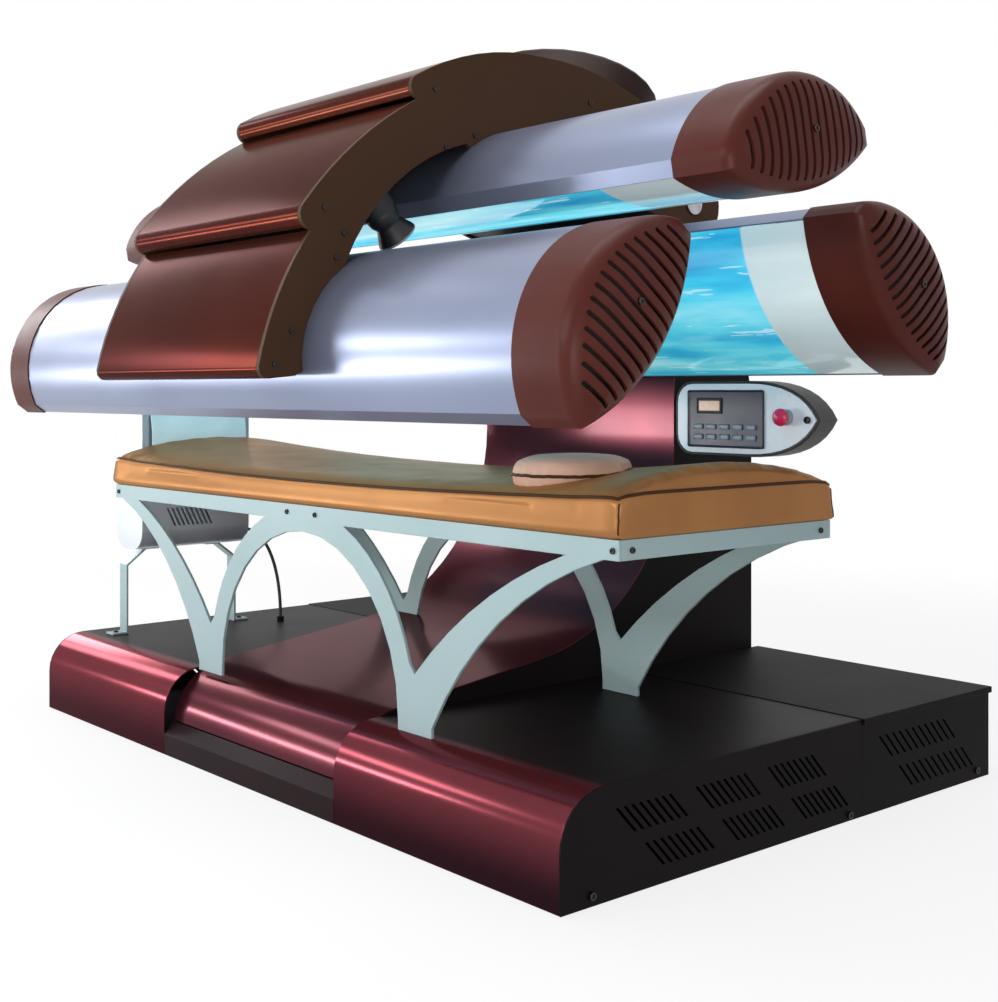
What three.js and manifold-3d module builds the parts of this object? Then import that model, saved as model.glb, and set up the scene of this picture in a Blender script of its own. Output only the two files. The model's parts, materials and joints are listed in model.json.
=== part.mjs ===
import * as THREE from 'three';
import { mergeVertices } from 'three/addons/utils/BufferGeometryUtils.js';
import Module from 'manifold-3d';

// Clamshell tanning bed. Millimetres; X runs along the couch towards the head end,
// Y runs from the front to the column at the back, Z is up from the floor.

// General sheet work and fits.
const SHEET = 4;
const GAP = 0.3;
const FLOOR_CLEAR = 2;

// Base.
const BASE_LENGTH = 2200;
const BASE_DEPTH = 1430;
const DECK_HEIGHT = 215;
const NOSE_RADIUS = 105;
const PAN_THICK = 6;
const SEAM_Y = 193;
const LID_RISE = 2;
const LID_LIP = 15;
const LID_OVERHANG = 6;
const PLINTH_HEIGHT = 55;
const PLINTH_SET_BACK = 28;
const LEDGE_TOP = 84;

// Ventilation slots in the base ends.
const SLOT_WIDTH = 8;
const SLOT_RUN = 50;
const SLOT_DROP = 52;
const SLOT_PITCH = 20.5;
const SLOTS_PER_GROUP = 8;
const GROUP_PITCH = 220;
const GROUP_START = -576;
const SLOT_ROW_TOPS = [168, 89];
const SLOT_ROW_SHIFT = 78;
const REAR_SLOT_PITCH = 25.5;
const REAR_SLOTS = 11;
const REAR_SLOT_START = 255;

// Centre section: nose, ramp and column.
const CENTRE_WIDTH = 770;
const NOSE_CREST = [-548, 227];
const NOSE_RISE = 36;
const RAMP_FOOT = [-100, 285];
const COLUMN_FRONT = 372.4;
const COLUMN_TOP = 1290;
const COLUMN_TOP_REAR = 524;
const COLUMN_REAR = 694;
const COLUMN_BEND = 930;
const COLUMN_BACK_RISE = 24;
const SADDLE_X = 210;
const SADDLE_WIDTH = 70;
const SADDLE_LOW = 1000;
const SADDLE_HIGH = 1140;

// Canopy hinge.
const HINGE_Y = 450;
const HINGE_Z = 1440;
const SHAFT_RADIUS = 30;
const SHAFT_PLAY = 0.6;
const SHAFT_STANDOUT = 6;
const HEAD_RADIUS = 95;
const HEAD_WALL = 8;
const HEAD_CHEEK = 10;
const NECK_HALF = 65;
const LOBE_RADIUS = 105;

// Canopy arch, outline points in Y and Z along the outside from the front foot to the hinge.
const PLATE_THICK = 12;
const ARCH_HEEL = [-812, 968];
const ARCH_TOE = [-876, 962];
const ARCH_FRONT = [-900, 986];
const FIRST_STEP = [-771, 1280];
const FIRST_LIP = [-790, 1335];
const SECOND_STEP = [-485, 1598];
const SECOND_LIP = [-492, 1650];
const ARCH_CROWN = [-107, 1751];
const LINER_FRONT = [-684, 1210];
const LINER_TOP = [-342, 1512];
const LINER_RISE = 52;
const REAR_LINER_START = [352, 1392];
const REAR_LINER_END = [87, 1463];

// Cowl on top of the arch.
const COWL_HALF_LENGTH = 372;
const COWL_HALF_DEPTH = 215;
const COWL_HEIGHT = 100;
const COWL_SKIRT = 160;
const COWL_AT = [240, 1670];
const COWL_LEAN = 32;
const COWL_WALL = 5;

// Lamp banks: one section for all three, in chord and rise.
const BANK_CHORD = 444;
const SHELL_RISE = 148;
const GLASS_RISE = 80;
const TIP_FLAT = 36;
const GLASS_THICK = 5;
const REFLECTOR_THICK = 3;
const REFLECTOR_INSET = 24;
const REFLECTOR_EDGE = 26;
const BULKHEAD_X = 880;
const BULKHEAD_THICK = 8;
const LAMPS_PER_BANK = 6;
const LAMP_RADIUS = 19;
const LAMP_EDGE = 62;
const LAMP_LEVEL = 4;
const FRONT_BANK = { y: -625, z: 1062, angle: 53, length: 2120 };
const TOP_BANK = { y: -192, z: 1409, angle: 11.8, length: 2180 };
const REAR_BANK = { y: 197, z: 1151, angle: -48.5, length: 2120 };

// End caps of the lamp banks.
const CAP_GROW = 3;
const CAP_RIM = 120;
const CAP_DOME = 48;
const CAP_WALL = 6;
const CAP_SLOTS = 15;
const CAP_SLOT_PITCH = 25;
const CAP_SLOT_WIDTH = 9;
const CAP_SLOT_MARGIN = 19;

// Couch.
const COUCH_LENGTH = 2000;
const COUCH_WIDTH = 624;
const COUCH_X = 160;
const COUCH_Y = -317;
const RAIL_TOP = 670;
const RAIL_HEIGHT = 38;
const FRAME_THICK = 8;
const FOOT_CENTRES = [-300, 560];
const FOOT_HALF = 58;
const NOTCH_Z = 340;
const ARCH_CENTRE_Z = 236;
const ARCH_BAND = 58;
const ARM_LOWER_RISE = 62;
const ARM_UPPER_RISE = 32;
const ARM_LOWER_INSET = 40;
const ARM_UPPER_INSET = 140;
const BOARD_THICK = 14;

// Mattress and pillow.
const MATTRESS_OVERHANG = 12;
const MATTRESS_EDGE = 64;
const MATTRESS_END_LIFT = 20;
const MATTRESS_CROWN = 6;
const MATTRESS_END_CROWN = 34;
const MATTRESS_ROUND = 26;
const SEAM_DRAW = 5;
const PILLOW_X = 890;
const PILLOW_Y = -480;
const PILLOW_LENGTH = 250;
const PILLOW_WIDTH = 270;
const PILLOW_HEIGHT = 54;

// Foot lamp.
const FOOT_LAMP_X0 = -1040;
const FOOT_LAMP_X1 = -875;
const FOOT_LAMP_Y0 = -530;
const FOOT_LAMP_Y1 = -174;
const FOOT_LAMP_LOW = 468;
const FOOT_LAMP_HIGH = 930;
const FOOT_LAMP_CORNER = 58;
const WINDOW_LOW = 690;
const WINDOW_HIGH = 895;
const WINDOW_SIDE = 22;
const FOOT_GLASS_RISE = 22;
const FOOT_SLOTS = 9;
const FOOT_SLOT_PITCH = 15;
const FOOT_SLOT_START = -452;
const FOOT_SLOT_TOP = 588;
const LEG_X = -985;
const LEG_WIDTH = 45;
const LEG_THICK = 6;
const LEG_Y = -536;
const LEG_TOE = 44;
const LEG_BEND = 420;
const LEG_KINK = 62;

// Cable from the foot lamp to the deck: one bend, held straight at both ends by its glands.
const CABLE_RADIUS = 5;
const GLAND_RADIUS = 11;
const GLAND_LENGTH = 16;
const CABLE_START = [-950, 505];
const CABLE_LEAD_OUT = 90;
const CABLE_LEAD_IN = 159.7;
const CABLE_END = [-872, -62];

// Control pod.
const POD_X0 = 430;
const POD_LENGTH = 458;
const POD_Z = 866;
const POD_HALF_HEIGHT = 95;
const POD_FACE = 330;
const POD_DEPTH = 70;
const POD_RIM = 7;
const FACE_THICK = 5;
const POD_ARM = 90;
const STOP_X = 790;
const STOP_Z = 872;
const COLLAR_RADIUS = 20;
const COLLAR_LENGTH = 14;
const STEM_RADIUS = 11;
const STOP_RADIUS = 22;
const STOP_TRAVEL = 6;
const STOP_CLEAR = 2;

// Air nozzle under the arch.
const NOZZLE_X = 290;
const LINER_STEPS = 50;
const NOZZLE_STEP = 27;
const NOZZLE_STAND_OFF = 4.5;
const BALL_RADIUS = 40;
const BALL_PLAY = 1.5;
const BALL_REACH = 60;
const SOCKET_RADIUS = 46;
const SOCKET_END = 48;
const FLANGE_RADIUS = 58;
const FLANGE_THICK = 6;
const MOUTH_RADIUS = 48;
const MOUTH_REACH = 126;
const NOZZLE_WALL = 5;

const wasm = await Module();
wasm.setup();

// Geometry helpers.
const at = (a, b) => new THREE.Vector2(a, b);
const point = (pair) => at(pair[0], pair[1]);

function weld(geometry) {
  geometry.deleteAttribute('normal');
  geometry.deleteAttribute('uv');
  return mergeVertices(geometry, 1e-4);
}

function toBody(geometry) {
  const mesh = new wasm.Mesh({
    numProp: 3,
    vertProperties: new Float32Array(geometry.attributes.position.array),
    triVerts: new Uint32Array(geometry.index.array),
  });
  mesh.merge();
  return new wasm.Manifold(mesh);
}

function fromBody(body) {
  const mesh = body.getMesh();
  const geometry = new THREE.BufferGeometry();
  geometry.setAttribute('position', new THREE.BufferAttribute(mesh.vertProperties, 3));
  geometry.setIndex(new THREE.BufferAttribute(mesh.triVerts, 1));
  return geometry;
}

function cut(geometry, ...tools) {
  let body = toBody(geometry);
  for (const tool of tools) body = body.subtract(toBody(tool));
  return fromBody(body);
}

function join(first, ...others) {
  let body = toBody(first);
  for (const other of others) body = body.add(toBody(other));
  return fromBody(body);
}

function prism(outline, depth) {
  return weld(new THREE.ExtrudeGeometry(new THREE.Shape(outline), { depth, bevelEnabled: false, steps: 1 }));
}

const X_AXIS = new THREE.Vector3(1, 0, 0);
const Y_AXIS = new THREE.Vector3(0, 1, 0);
const Z_AXIS = new THREE.Vector3(0, 0, 1);
const ALONG_X = new THREE.Matrix4().makeBasis(Y_AXIS, Z_AXIS, X_AXIS);
const ALONG_Y = new THREE.Matrix4().makeBasis(X_AXIS, Z_AXIS, Y_AXIS.clone().negate());

// Outline in Y and Z, carried along X.
function prismX(outline, x0, x1) {
  return prism(outline, x1 - x0).applyMatrix4(ALONG_X).translate(x0, 0, 0);
}

// Outline in X and Z, carried along Y.
function prismY(outline, y0, y1) {
  return prism(outline, y1 - y0).applyMatrix4(ALONG_Y).translate(0, y1, 0);
}

function block(x0, x1, y0, y1, z0, z1) {
  const geometry = weld(new THREE.BoxGeometry(x1 - x0, y1 - y0, z1 - z0));
  return geometry.translate((x0 + x1) / 2, (y0 + y1) / 2, (z0 + z1) / 2);
}

// Round bar along X.
function barX(radius, x0, x1, sides) {
  const geometry = weld(new THREE.CylinderGeometry(radius, radius, x1 - x0, sides));
  return geometry.rotateZ(-Math.PI / 2).translate((x0 + x1) / 2, 0, 0);
}

function lathe(profile, sides) {
  return weld(new THREE.LatheGeometry(profile, sides)).rotateX(Math.PI / 2);
}

// Points of an arc from p to q, bulging to the left by the given rise. The start is left out.
function bow(p, q, rise, steps) {
  const chord = q.clone().sub(p);
  const half = chord.length() / 2;
  const radius = (half * half + rise * rise) / (2 * rise);
  const left = at(-chord.y, chord.x).normalize();
  const centre = p.clone().add(q).multiplyScalar(0.5).addScaledVector(left, rise - radius);
  const start = Math.atan2(p.y - centre.y, p.x - centre.x);
  const sweep = -4 * Math.atan(rise / half);
  const points = [];
  for (let i = 1; i < steps; i += 1) {
    const turn = start + sweep * i / steps;
    points.push(at(Math.cos(turn), Math.sin(turn)).multiplyScalar(Math.abs(radius)).add(centre));
  }
  points.push(q.clone());
  return points;
}

// Points on a circle between two angles in degrees, both ends included.
function around(centre, radius, from, to, steps) {
  const points = [];
  for (let i = 0; i <= steps; i += 1) {
    const turn = THREE.MathUtils.degToRad(from + (to - from) * i / steps);
    points.push(at(Math.cos(turn), Math.sin(turn)).multiplyScalar(radius).add(centre));
  }
  return points;
}

// The same path moved sideways, to its right.
function offset(path, distance) {
  const right = (a, b) => at(b.y - a.y, a.x - b.x).normalize();
  return path.map((p, i) => {
    const next = right(path[Math.min(i, path.length - 2)], path[Math.min(i + 1, path.length - 1)]);
    const last = i === 0 ? next : right(path[i - 1], p);
    const mitre = last.clone().add(next).multiplyScalar(distance / (1 + last.dot(next)));
    return p.clone().add(mitre);
  });
}

// Closed outline of a bent sheet whose outer face is the path.
function sheet(path, thickness) {
  return [...path, ...offset(path, thickness).reverse()];
}

// Solid through scaled copies of one convex outline, each at its own X.
function loft(outline, middle, stations) {
  const count = outline.length;
  const positions = [];
  const index = [];
  for (const { x, scale } of stations) {
    for (const p of outline) {
      positions.push(x, p.x * scale, middle + (p.y - middle) * scale);
    }
  }
  const last = (stations.length - 1) * count;
  for (let i = 0; i < stations.length - 1; i += 1) {
    for (let j = 0; j < count; j += 1) {
      const a = i * count + j;
      const b = i * count + (j + 1) % count;
      index.push(a, b, a + count, b, b + count, a + count);
    }
  }
  for (let j = 1; j < count - 1; j += 1) {
    index.push(0, j + 1, j, last, last + j, last + j + 1);
  }
  const geometry = new THREE.BufferGeometry();
  geometry.setAttribute('position', new THREE.Float32BufferAttribute(positions, 3));
  geometry.setIndex(index);
  return geometry;
}

// Materials.
function finish(color, roughness, metalness) {
  return () => new THREE.MeshStandardMaterial({ color, roughness, metalness });
}
const burgundy = finish(0x4b2b33, 0.28, 0.55);
const darkPanel = finish(0x1c1a1d, 0.45, 0.3);
const bronze = finish(0x6d4b40, 0.35, 0.5);
const capBrown = finish(0x6f4036, 0.42, 0.1);
const silver = finish(0xb4b8c8, 0.35, 0.35);
const clear = finish(0x8fe3f7, 0.1, 0.0);
const mirror = finish(0xd9e6ee, 0.15, 0.9);
const lampWhite = finish(0xd8f4ff, 0.3, 0.0);
const steelPaint = finish(0xb5c9cc, 0.4, 0.3);
const vinyl = finish(0x9c6f45, 0.45, 0.0);
const pillowVinyl = finish(0x7a4a2c, 0.45, 0.0);
const plywood = finish(0xa98a63, 0.8, 0.0);
const bareSteel = finish(0x9a9da3, 0.3, 0.9);
const blackPlastic = finish(0x151517, 0.5, 0.0);
const podSilver = finish(0xe4e3ee, 0.3, 0.2);
const redPlastic = finish(0xd1214f, 0.35, 0.0);
const greyPlastic = finish(0x8d97a3, 0.4, 0.1);
const rubber = finish(0x1d1d1f, 0.7, 0.0);

const bed = new THREE.Group();
bed.name = 'clamshell_tanning_bed';

function group(name, parent) {
  const made = new THREE.Group();
  made.name = name;
  parent.add(made);
  return made;
}

function add(parent, name, geometry, material) {
  const mesh = new THREE.Mesh(geometry, material());
  mesh.name = name;
  parent.add(mesh);
  return mesh;
}

// Base: pan, bullnosed covers, slotted ends and rear boxes with lids.
const base = group('base', bed);
const endX = BASE_LENGTH / 2;
const frontY = -BASE_DEPTH / 2;
const rearY = BASE_DEPTH / 2;
const centreX = CENTRE_WIDTH / 2;
const seamHalf = GAP / 2;
const lidTop = DECK_HEIGHT + LID_RISE;
const boxTop = lidTop - SHEET - GAP;

const noseStart = at(frontY, DECK_HEIGHT - NOSE_RADIUS);
const deckStart = at(frontY + NOSE_RADIUS, DECK_HEIGHT);
const coverPath = [
  at(frontY, FLOOR_CLEAR),
  noseStart,
  ...bow(noseStart, deckStart, NOSE_RADIUS * (1 - Math.SQRT1_2), 8),
  at(SEAM_Y - seamHalf, DECK_HEIGHT),
];
const deckSolid = prismX([...coverPath, at(SEAM_Y, FLOOR_CLEAR)], -endX, endX);

function slantedSlot(y, top, run, drop) {
  return [at(y, top), at(y + run, top - drop), at(y + run + SLOT_WIDTH, top - drop), at(y + SLOT_WIDTH, top)];
}

const frontSlots = [];
const rearSlots = [];
SLOT_ROW_TOPS.forEach((top, row) => {
  for (let n = 0; n < 3 * SLOTS_PER_GROUP; n += 1) {
    const set = Math.floor(n / SLOTS_PER_GROUP);
    const y = GROUP_START + set * GROUP_PITCH + (n % SLOTS_PER_GROUP) * SLOT_PITCH + row * SLOT_ROW_SHIFT;
    frontSlots.push(slantedSlot(y, top, SLOT_RUN, SLOT_DROP));
  }
  for (let n = 0; n < REAR_SLOTS; n += 1) {
    const y = REAR_SLOT_START + n * REAR_SLOT_PITCH + row * SLOT_ROW_SHIFT;
    rearSlots.push(slantedSlot(y, top, SLOT_RUN, SLOT_DROP));
  }
});

add(base, 'base_pan', block(-endX + SHEET + GAP, endX - SHEET - GAP, frontY + SHEET + GAP,
  rearY - SHEET - GAP, 0, PAN_THICK), darkPanel);

const deckGland = barX(GLAND_RADIUS, 0, GLAND_LENGTH + SHEET / 2, 12).rotateY(-Math.PI / 2);
deckGland.translate(CABLE_END[0], CABLE_END[1], DECK_HEIGHT - SHEET / 2);

for (const [side, sign] of [['left', -1], ['right', 1]]) {
  const span = (a, b) => (sign > 0 ? [a, b] : [-b, -a]);
  const cover = prismX(sheet(coverPath, SHEET), ...span(centreX + GAP, endX - SHEET - GAP));
  add(base, `base_cover_${side}`, side === 'left' ? join(cover, deckGland) : cover, burgundy);
  const slotTool = (slot) => prismX(slot, ...span(endX - 2 * SHEET, endX + 1));
  const end = prismX([...coverPath, at(SEAM_Y - seamHalf, FLOOR_CLEAR)], ...span(endX - SHEET, endX));
  add(base, `base_end_${side}`, cut(end, ...frontSlots.map(slotTool)), burgundy);
  const boxEnd = block(...span(endX - SHEET, endX), SEAM_Y + seamHalf, rearY, FLOOR_CLEAR, boxTop);
  const boxBack = block(...span(centreX + SHEET + 2 * GAP, endX - 1), rearY - SHEET, rearY, FLOOR_CLEAR, boxTop);
  add(base, `rear_box_${side}`, cut(join(boxEnd, boxBack), ...rearSlots.map(slotTool)), burgundy);
  const lid = block(...span(centreX + GAP, endX + LID_OVERHANG), SEAM_Y + seamHalf,
    rearY + LID_OVERHANG, lidTop - LID_LIP, lidTop);
  const lidHollow = block(...span(centreX + GAP + SHEET, endX + LID_OVERHANG - SHEET), SEAM_Y - SHEET,
    rearY + LID_OVERHANG - SHEET, 0, lidTop - SHEET);
  add(base, `rear_lid_${side}`, cut(lid, lidHollow), burgundy);
}

// Centre section: plinth, nose and ramp, column sides and back.
const column = group('column', bed);
const ledgeTop = at(frontY + PLINTH_SET_BACK, LEDGE_TOP);
const plinthPath = [at(frontY, FLOOR_CLEAR), at(frontY, PLINTH_HEIGHT), ledgeTop];
add(column, 'centre_plinth', prismX(sheet(plinthPath, SHEET), -centreX, centreX), darkPanel);

const crest = point(NOSE_CREST);
const rampFoot = point(RAMP_FOOT);
const rampAngle = Math.atan2(rampFoot.y - crest.y, rampFoot.x - crest.x);
const sweepRadius = (COLUMN_FRONT - rampFoot.x) / (1 - Math.sin(rampAngle));
const sweepCentre = at(COLUMN_FRONT - sweepRadius, rampFoot.y + sweepRadius * Math.cos(rampAngle));
const noseFoot = at(ledgeTop.x, ledgeTop.y + FLOOR_CLEAR);
const rampPath = [
  noseFoot,
  ...bow(noseFoot, crest, NOSE_RISE, 8),
  ...around(sweepCentre, sweepRadius, THREE.MathUtils.radToDeg(rampAngle) - 90, 0, 14),
  at(COLUMN_FRONT, COLUMN_TOP),
];
const rampSolid = prismX([...rampPath, at(COLUMN_REAR, COLUMN_TOP), at(COLUMN_REAR, 0), at(noseFoot.x, 0)],
  -centreX, centreX);

const backPath = [
  at(COLUMN_TOP_REAR, COLUMN_TOP),
  ...bow(at(COLUMN_TOP_REAR, COLUMN_TOP), at(COLUMN_REAR, COLUMN_BEND), COLUMN_BACK_RISE, 6),
  at(COLUMN_REAR, PAN_THICK + GAP),
];
add(column, 'column_back', prismX(sheet(backPath, SHEET), -centreX, centreX), burgundy);

const sideOutline = [
  ...offset(rampPath, SHEET + GAP),
  ...offset(backPath, SHEET + GAP),
  at(noseFoot.x + SHEET + GAP, PAN_THICK + GAP),
];
for (const [side, sign] of [['left', -1], ['right', 1]]) {
  const x = sign * (centreX - 1 - SHEET / 2);
  add(column, `column_side_${side}`, prismX(sideOutline, x - SHEET / 2, x + SHEET / 2), darkPanel);
}

// Lamp bank section: chord along Y, outward rise along Z, before the bank is turned into place.
const flatHalf = TIP_FLAT / 2;
function bankSection(grow, shellSteps, glassSteps, lift = 0) {
  const half = BANK_CHORD / 2 + grow;
  const low = lift - flatHalf;
  return [
    at(-half, low),
    ...bow(at(-half, low), at(half, low), -(GLASS_RISE - flatHalf + grow), glassSteps),
    at(half, flatHalf),
    ...bow(at(half, flatHalf), at(-half, flatHalf), -(SHELL_RISE - flatHalf + grow), shellSteps),
  ];
}

function placed(geometry, bank) {
  return geometry.rotateX(THREE.MathUtils.degToRad(bank.angle)).translate(0, bank.y, bank.z);
}

const shellHalf = BANK_CHORD / 2;
const shellPath = [
  at(-shellHalf, -flatHalf),
  at(-shellHalf, flatHalf),
  ...bow(at(-shellHalf, flatHalf), at(shellHalf, flatHalf), SHELL_RISE - flatHalf, 14),
  at(shellHalf, -flatHalf),
];
const glassHalf = shellHalf - SHEET - GAP;
const glassPath = [
  at(glassHalf, -flatHalf),
  ...bow(at(glassHalf, -flatHalf), at(-glassHalf, -flatHalf), GLASS_RISE - flatHalf, 12),
];
const reflectorHalf = shellHalf - REFLECTOR_INSET;
const reflectorRise = SHELL_RISE - REFLECTOR_INSET - REFLECTOR_EDGE;
const reflectorPath = [
  at(-reflectorHalf, REFLECTOR_EDGE),
  ...bow(at(-reflectorHalf, REFLECTOR_EDGE), at(reflectorHalf, REFLECTOR_EDGE), reflectorRise, 10),
];

function lampSet() {
  const pitch = 2 * (shellHalf - LAMP_EDGE) / (LAMPS_PER_BANK - 1);
  const wall = bankSection(-SHEET - GLASS_THICK, 8, 6, 2 * GLASS_THICK);
  const pieces = [-1, 1].map((sign) => {
    const x = sign * (BULKHEAD_X + BULKHEAD_THICK / 2);
    return prismX(wall, x - BULKHEAD_THICK / 2, x + BULKHEAD_THICK / 2);
  });
  for (let n = 0; n < LAMPS_PER_BANK; n += 1) {
    const lamp = barX(LAMP_RADIUS, -BULKHEAD_X - 1, BULKHEAD_X + 1, 8);
    pieces.push(lamp.translate(0, (n - (LAMPS_PER_BANK - 1) / 2) * pitch, LAMP_LEVEL));
  }
  return join(...pieces);
}

// End cap: hollow cup with a domed face, cut by a row of slots square to the chord.
function endCap(bankHalf) {
  const middle = (SHELL_RISE - GLASS_RISE) / 2;
  const start = bankHalf + GAP;
  const rim = start + CAP_RIM;
  const outside = loft(bankSection(CAP_GROW, 10, 6), middle, [
    { x: start, scale: 1 },
    { x: rim, scale: 1 },
    { x: rim + CAP_DOME * 0.5, scale: 0.91 },
    { x: rim + CAP_DOME, scale: 0.52 },
  ]);
  const inside = loft(bankSection(CAP_GROW - CAP_WALL, 8, 6), middle, [
    { x: start - 1, scale: 1 },
    { x: rim - CAP_WALL, scale: 1 },
    { x: rim + CAP_DOME - CAP_WALL, scale: 0.5 },
  ]);
  const slots = [];
  for (let n = 0; n < CAP_SLOTS; n += 1) {
    const u = (n - (CAP_SLOTS - 1) / 2) * CAP_SLOT_PITCH;
    const fall = (u / shellHalf) ** 2;
    const high = SHELL_RISE - (SHELL_RISE - flatHalf) * fall - CAP_SLOT_MARGIN;
    const low = -GLASS_RISE + (GLASS_RISE - flatHalf) * fall + CAP_SLOT_MARGIN;
    slots.push(block(rim - CAP_WALL, rim + CAP_DOME + 1, u - CAP_SLOT_WIDTH / 2, u + CAP_SLOT_WIDTH / 2,
      low, high));
  }
  return cut(outside, inside, ...slots);
}

function lampBank(name, bank, parent) {
  const made = group(`${name}_bank`, parent);
  const bankHalf = bank.length / 2;
  const put = (part, geometry, material) => add(made, `${name}_${part}`, placed(geometry, bank), material);
  put('shell', prismX(sheet(shellPath, SHEET), -bankHalf, bankHalf), silver);
  put('glass', prismX(sheet(glassPath, GLASS_THICK), -bankHalf, bankHalf), clear);
  put('reflector', prismX(sheet(reflectorPath, REFLECTOR_THICK), -BULKHEAD_X + GAP, BULKHEAD_X - GAP), mirror);
  put('lamps', lampSet(), lampWhite);
  put('cap_right', endCap(bankHalf), capBrown);
  put('cap_left', endCap(bankHalf).rotateZ(Math.PI), capBrown);
}

const bankSolid = (bank, grow) => placed(prismX(bankSection(grow, 14, 12), -centreX - 1, centreX + 1), bank);

// Ramp cover with two saddles that carry the rear lamp bank.
const saddles = [-1, 1].map((sign) => block(sign * SADDLE_X - SADDLE_WIDTH / 2,
  sign * SADDLE_X + SADDLE_WIDTH / 2, COLUMN_FRONT - 40, COLUMN_FRONT + 1, SADDLE_LOW, SADDLE_HIGH));
const rampCover = join(prismX(sheet(rampPath, SHEET), -centreX, centreX), ...saddles);
add(column, 'ramp_cover', cut(rampCover, bankSolid(REAR_BANK, GAP)), burgundy);
lampBank('rear', REAR_BANK, column);

// Hinge head and shaft on top of the column.
const hinge = at(HINGE_Y, HINGE_Z);
function headOutline(radius, half, foot) {
  const open = THREE.MathUtils.radToDeg(Math.asin(half / radius));
  return [at(HINGE_Y + half, foot), ...around(hinge, radius, open - 90, 270 - open, 24), at(HINGE_Y - half, foot)];
}
const cheekX = centreX - PLATE_THICK - 6;
const headHollow = prismX(headOutline(HEAD_RADIUS - HEAD_WALL, NECK_HALF - HEAD_WALL, 0),
  -cheekX + HEAD_CHEEK, cheekX - HEAD_CHEEK);
const shaftBore = barX(SHAFT_RADIUS + SHAFT_PLAY, -endX, endX, 24).translate(0, HINGE_Y, HINGE_Z);
add(column, 'hinge_head', cut(prismX(headOutline(HEAD_RADIUS, NECK_HALF, COLUMN_TOP + GAP), -cheekX, cheekX),
  headHollow, shaftBore), darkPanel);
add(column, 'hinge_shaft', barX(SHAFT_RADIUS, -centreX - SHAFT_STANDOUT, centreX + SHAFT_STANDOUT, 24)
  .translate(0, HINGE_Y, HINGE_Z), bareSteel);

// Canopy: arch plates, stepped covers, liners, cowl and two lamp banks.
const canopy = group('canopy', bed);
const lobeStart = around(hinge, LOBE_RADIUS, 50, 50, 1)[0];
const frontPath = [
  point(ARCH_HEEL),
  point(ARCH_TOE),
  ...bow(point(ARCH_TOE), point(ARCH_FRONT), 8, 4),
  ...bow(point(ARCH_FRONT), point(FIRST_STEP), 17, 8),
];
const middlePath = [
  ...bow(point(FIRST_STEP), point(FIRST_LIP), 17, 6),
  ...bow(point(FIRST_LIP), point(SECOND_STEP), 21, 8),
];
const topPath = [
  ...bow(point(SECOND_STEP), point(SECOND_LIP), 15, 6),
  ...bow(point(SECOND_LIP), point(ARCH_CROWN), 28, 8),
  ...bow(point(ARCH_CROWN), lobeStart, 66, 10),
];
const lobe = around(hinge, LOBE_RADIUS, 50, -145, 16);
const archOutline = [
  ...frontPath,
  ...middlePath,
  ...topPath,
  ...lobe.slice(1),
  point(REAR_LINER_END),
  at(TOP_BANK.y, TOP_BANK.z),
  point(LINER_TOP),
  ...bow(point(LINER_TOP), point(LINER_FRONT), -LINER_RISE, 8),
  at(FRONT_BANK.y, FRONT_BANK.z),
];
const bankCuts = [FRONT_BANK, TOP_BANK].map((bank) => bankSolid(bank, GAP));
for (const [side, sign] of [['left', -1], ['right', 1]]) {
  const x = sign * (centreX - PLATE_THICK / 2);
  const plate = prismX(archOutline, x - PLATE_THICK / 2, x + PLATE_THICK / 2);
  add(canopy, `arch_plate_${side}`, cut(plate, ...bankCuts, shaftBore), bronze);
}

const coverX = centreX - PLATE_THICK - GAP;
const foldedCover = (path) => prismX(sheet(path, SHEET), -coverX, coverX);
add(canopy, 'arch_cover_front', foldedCover(frontPath), bronze);
add(canopy, 'arch_cover_middle', foldedCover(middlePath), bronze);
add(canopy, 'arch_cover_top', foldedCover([...topPath, ...lobe.slice(1, 5)]), bronze);
const linerPath = [point(LINER_TOP), ...bow(point(LINER_TOP), point(LINER_FRONT), -LINER_RISE, 8)];
add(canopy, 'arch_liner_front', foldedCover(linerPath), blackPlastic);
add(canopy, 'arch_liner_rear', foldedCover([point(REAR_LINER_START), point(REAR_LINER_END)]), blackPlastic);
lampBank('front', FRONT_BANK, canopy);
lampBank('top', TOP_BANK, canopy);

function ellipse(halfLength, halfDepth, count) {
  const points = [];
  for (let i = 0; i < count; i += 1) {
    const turn = 2 * Math.PI * i / count;
    points.push(at(halfLength * Math.cos(turn), halfDepth * Math.sin(turn)));
  }
  return points;
}
function cowlBody(inset, top) {
  const oval = ellipse(COWL_HALF_DEPTH - inset, COWL_HALF_LENGTH - inset, 32);
  const body = loft(oval, 0, [
    { x: -COWL_SKIRT - inset, scale: 1 },
    { x: top - 16, scale: 1 },
    { x: top - 5, scale: 0.97 },
    { x: top, scale: 0.9 },
  ]);
  body.applyMatrix4(new THREE.Matrix4().makeBasis(Z_AXIS, Y_AXIS, X_AXIS.clone().negate()));
  return body.rotateX(THREE.MathUtils.degToRad(-COWL_LEAN)).translate(0, COWL_AT[0], COWL_AT[1]);
}
const archEnvelope = prismX([...offset([...frontPath, ...middlePath, ...topPath], -GAP), hinge], -endX, endX);
add(canopy, 'rear_cowl', cut(cowlBody(0, COWL_HEIGHT), cowlBody(COWL_WALL, COWL_HEIGHT - COWL_WALL),
  archEnvelope), bronze);

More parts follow.
